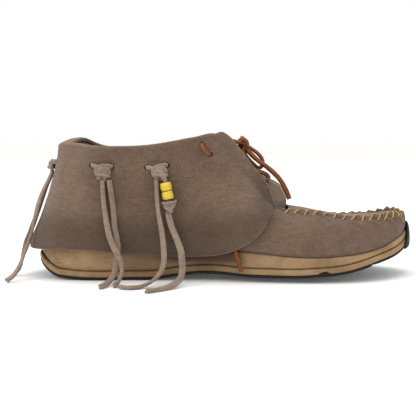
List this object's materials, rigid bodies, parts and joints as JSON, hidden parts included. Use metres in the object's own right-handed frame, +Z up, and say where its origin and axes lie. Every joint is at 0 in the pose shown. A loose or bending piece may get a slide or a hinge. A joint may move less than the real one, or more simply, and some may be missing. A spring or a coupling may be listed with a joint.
{
  "type": "moccasin shoe",
  "caption": "Low suede moccasin with a stitched apron toe, folded collar tied with thongs and beads, a leather lace bow and a foam sole.",
  "frame": {"origin": "on the floor, under the middle of the shoe's length and width, its free thongs and laces left out", "axes": "+X to the toe, +Y to the inner side of the foot, +Z up"},
  "size_m": [0.3113, 0.161, 0.1101],
  "materials": {
    "upper_suede": "napped, matte taupe suede",
    "thong_suede": "napped, matte pale taupe suede",
    "lining_hide": "smooth brown leather, dull",
    "lace_hide": "smooth waxed brown leather, soft sheen",
    "midsole_foam": "moulded cream foam, matte",
    "footbed_foam": "matte foam",
    "rubber_tread": "moulded black rubber, dull",
    "lasting_board": "pressed fibre board, matte",
    "stiffener": "moulded heel stiffener, matte",
    "waxed_thread": "twisted gold thread, matte",
    "bead_glass": "opaque yellow, semi gloss"
  },
  "bodies": {
    "shoe": {"outsole": "rubber_tread", "midsole_lower": "midsole_foam", "midsole_upper": "midsole_foam", "insole_board": "lasting_board", "footbed": "footbed_foam", "footbed_cover": "lining_hide", "vamp": "upper_suede", "plug": "upper_suede", "tongue": "upper_suede", "quarter": "upper_suede", "heel_counter": "stiffener", "collar_lining": "lining_hide", "cuff": "upper_suede", "apron_thread": "waxed_thread", "rear_outer_knot": "thong_suede", "mid_outer_knot": "thong_suede", "rear_inner_knot": "thong_suede", "mid_inner_knot": "thong_suede", "heel_knot": "thong_suede", "lace_stitch_outer": "lace_hide", "lace_stitch_inner": "lace_hide", "lace_knot": "lace_hide", "bead_thong": "thong_suede", "rear_outer_strand_a": "thong_suede", "rear_outer_strand_b": "thong_suede", "mid_outer_strand_a": "thong_suede", "mid_outer_strand_b": "thong_suede", "heel_strand_a": "thong_suede", "heel_strand_b": "thong_suede", "rear_inner_strand_a": "thong_suede", "rear_inner_strand_b": "thong_suede", "mid_inner_strand_a": "thong_suede", "mid_inner_strand_b": "thong_suede", "lace_run_outer": "lace_hide", "lace_run_inner": "lace_hide", "lace_tail_outer": "lace_hide", "lace_tail_inner": "lace_hide", "lace_end_long": "lace_hide", "lace_loop_upper": "lace_hide", "lace_loop_lower": "lace_hide", "lace_end_short": "lace_hide"},
    "bead_upper": {"bead_upper": "bead_glass"},
    "bead_lower": {"bead_lower": "bead_glass"}
  },
  "joints": [
    {"name": "bead_upper_spin", "type": "hinge", "parent": "shoe", "child": "bead_upper", "pos_m": [-0.04101, -0.04319, 0.07142], "axis": [0.1902, -0.03, -0.9813], "continuous": true},
    {"name": "bead_lower_spin", "type": "hinge", "parent": "shoe", "child": "bead_lower", "pos_m": [-0.03977, -0.04338, 0.06504], "axis": [0.1902, -0.03, -0.9813], "continuous": true}
  ]
}
